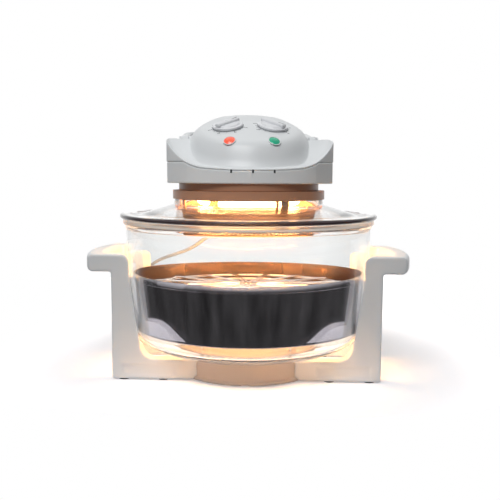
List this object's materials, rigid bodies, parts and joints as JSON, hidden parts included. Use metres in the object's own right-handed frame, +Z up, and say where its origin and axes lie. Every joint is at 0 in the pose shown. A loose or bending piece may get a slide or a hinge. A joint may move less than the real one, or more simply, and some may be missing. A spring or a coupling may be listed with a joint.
{
  "type": "halogen oven",
  "caption": "Worktop halogen oven: glass bowl in a stand with hand grips, glass lid, and a lift-off heater head with dials and a folding carry handle.",
  "frame": {"origin": "on the worktop, under the bowl's axis", "axes": "+X to the right seen from the control side, +Y to the back where the cord leaves, +Z up"},
  "size_m": [0.4282, 0.5301, 0.3379],
  "materials": {
    "white_plastic": "satin white moulding",
    "black_rubber": "matt",
    "zinc_steel": "zinc plated",
    "clear_glass": "clear, polished",
    "polished_steel": "mirror polished stainless steel",
    "rack_wire": "bright plated wire",
    "bright_aluminium": "bright",
    "quartz_tube": "lit",
    "ceramic": "glazed ceramic",
    "guard_steel": "perforated, heat tinted",
    "motor_steel": "plain",
    "black_plastic": "matt",
    "knob_plastic": "satin",
    "red_lens": "translucent, glossy",
    "green_lens": "translucent, glossy",
    "cord_jacket": "soft PVC"
  },
  "bodies": {
    "stand": {"base_dish": "white_plastic", "left_side_frame": "white_plastic", "right_side_frame": "white_plastic", "rubber_pads": "black_rubber", "stand_screws": "zinc_steel", "glass_bowl": "clear_glass", "extension_ring": "polished_steel", "high_rack": "rack_wire", "rack_legs": "rack_wire", "power_cord": "cord_jacket", "cord_coil": "cord_jacket", "mains_plug": "cord_jacket"},
    "head": {"glass_lid": "clear_glass", "lid_collar": "white_plastic", "head_base": "white_plastic", "head_cover": "white_plastic", "heat_reflector": "bright_aluminium", "halogen_lamp": "quartz_tube", "lamp_holders": "ceramic", "guard_posts": "zinc_steel", "lamp_guard": "guard_steel", "lid_clips": "zinc_steel", "motor": "motor_steel", "motor_bracket": "zinc_steel", "timer_mechanism": "black_plastic", "thermostat_mechanism": "black_plastic", "red_lens": "red_lens", "green_lens": "green_lens", "handle_pins": "white_plastic", "micro_switch": "black_plastic", "head_screws": "zinc_steel", "bracket_screws": "zinc_steel", "terminal_block": "ceramic", "cord_gland": "cord_jacket", "power_cord_top": "cord_jacket"},
    "fan_rotor": {"motor_shaft": "zinc_steel", "circulation_fan": "bright_aluminium", "cooling_fan": "bright_aluminium"},
    "timer": {"timer_knob": "knob_plastic", "timer_shaft": "zinc_steel"},
    "thermostat": {"thermostat_knob": "knob_plastic", "thermostat_shaft": "zinc_steel"},
    "carry_handle": {"carry_handle": "white_plastic"},
    "safety_plunger": {"switch_plunger": "black_plastic"}
  },
  "joints": [
    {"name": "head_lift", "type": "slide", "parent": "stand", "child": "head", "axis": [0, 0, 1], "range_m": [0, 0.12]},
    {"name": "fan_spin", "type": "hinge", "parent": "head", "child": "fan_rotor", "pos_m": [0, 0, 0.24], "axis": [0, 0, 1], "continuous": true},
    {"name": "timer_turn", "type": "hinge", "parent": "head", "child": "timer", "pos_m": [-0.0259, -0.03098, 0.32101], "axis": [-0.0794, -0.3499, 0.9334], "range_deg": [-300, 0]},
    {"name": "thermostat_turn", "type": "hinge", "parent": "head", "child": "thermostat", "pos_m": [0.03088, -0.02601, 0.32101], "axis": [0.139, -0.3308, 0.9334], "range_deg": [-280, 0]},
    {"name": "carry_handle_hinge", "type": "hinge", "parent": "head", "child": "carry_handle", "pos_m": [-0.00017, 0.00199, 0.304], "axis": [0.9962, 0.0872, 0], "range_deg": [0, 77]},
    {"name": "safety_plunger_slide", "type": "slide", "parent": "head", "child": "safety_plunger", "axis": [0, 0, 1], "range_m": [0, 0.0031]}
  ],
  "couplings": [
    {"joint": "safety_plunger_slide", "follows": "carry_handle_hinge", "m_per_rad": 0.002232}
  ]
}
